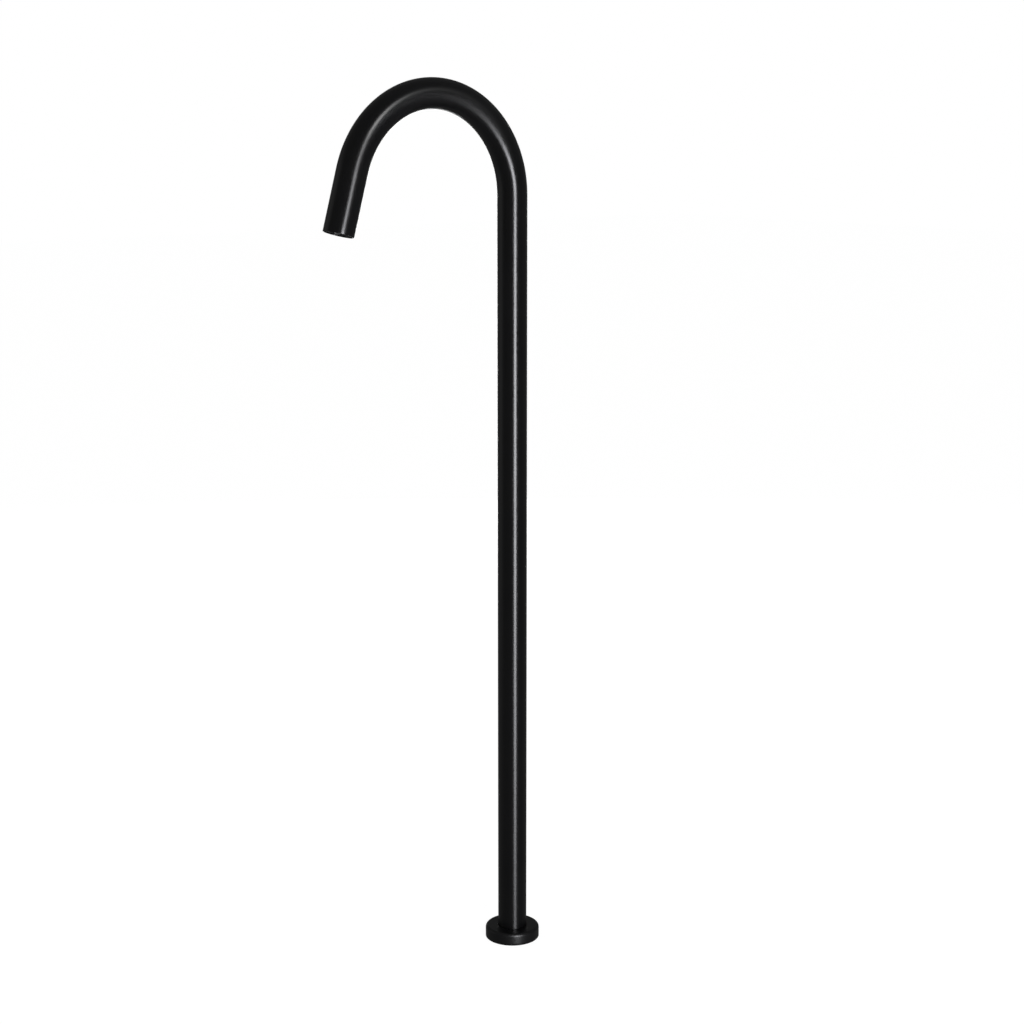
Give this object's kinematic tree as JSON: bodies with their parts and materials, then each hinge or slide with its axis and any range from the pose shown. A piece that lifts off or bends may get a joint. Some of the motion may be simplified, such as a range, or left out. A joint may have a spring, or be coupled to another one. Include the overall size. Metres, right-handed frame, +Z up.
{
  "type": "floor standing bath filler",
  "caption": "Tall one-piece gooseneck bath spout in satin black on a small round floor flange, with an inner hose, a swivelling foot and a screw-in aerator.",
  "frame": {"origin": "centre of the floor fixing pattern, on the column's axis at floor level", "axes": "+Z up the column, -Y the way the spout reaches, X sideways"},
  "size_m": [0.072, 0.3182, 1.1349],
  "materials": {
    "black_tube": "satin black powder coat",
    "black_cover": "satin black powder coat",
    "black_bush": "black coated brass",
    "brass": "machined",
    "rubber": "smooth EPDM",
    "grub_steel": "black oxide",
    "ferrule_steel": "stainless, crimped",
    "spring_steel": "spring steel",
    "screen_steel": "perforated stainless sheet",
    "braided_hose": "rubber hose in a stainless wire braid",
    "spacer_plastic": "moulded acetal",
    "black_plastic": "moulded black",
    "grey_plastic": "moulded dark grey"
  },
  "bodies": {
    "base": {"base_foot": "brass", "base_seal": "rubber", "spigot_o_rings": "rubber"},
    "column": {"spout_tube": "black_tube", "column_sleeve": "brass", "grub_screws": "grub_steel", "hose_plug": "brass", "plug_o_rings": "rubber", "lower_ferrule": "ferrule_steel", "inner_hose": "braided_hose", "upper_ferrule": "ferrule_steel", "upper_tail": "brass", "upper_tail_o_ring": "rubber", "upper_tail_clip": "spring_steel", "outlet_bush": "black_bush", "hose_spacers": "spacer_plastic"},
    "cover": {"cover_flange": "black_cover", "cover_o_ring": "rubber"},
    "aerator_insert": {"flow_straightener": "grey_plastic", "aerator_screen": "screen_steel", "aerator_washer": "rubber"},
    "aerator_housing": {"aerator_housing": "black_plastic"}
  },
  "joints": [
    {"name": "column_swivel", "type": "hinge", "parent": "base", "child": "column", "pos_m": [0, 0, 0], "axis": [0, 0, 1], "continuous": true},
    {"name": "cover_slide", "type": "slide", "parent": "column", "child": "cover", "axis": [0, 0, 1], "range_m": [0, 0.972]},
    {"name": "aerator_travel", "type": "slide", "parent": "column", "child": "aerator_insert", "axis": [0, -0.2756, -0.9613], "range_m": [0, 0.006]},
    {"name": "aerator_unscrew", "type": "hinge", "parent": "aerator_insert", "child": "aerator_housing", "pos_m": [0, -0.26415, 0.95312], "axis": [0, -0.2756, -0.9613], "range_deg": [0, 2165]}
  ],
  "couplings": [
    {"joint": "aerator_unscrew", "follows": "aerator_travel", "rad_per_m": 6283.2}
  ]
}
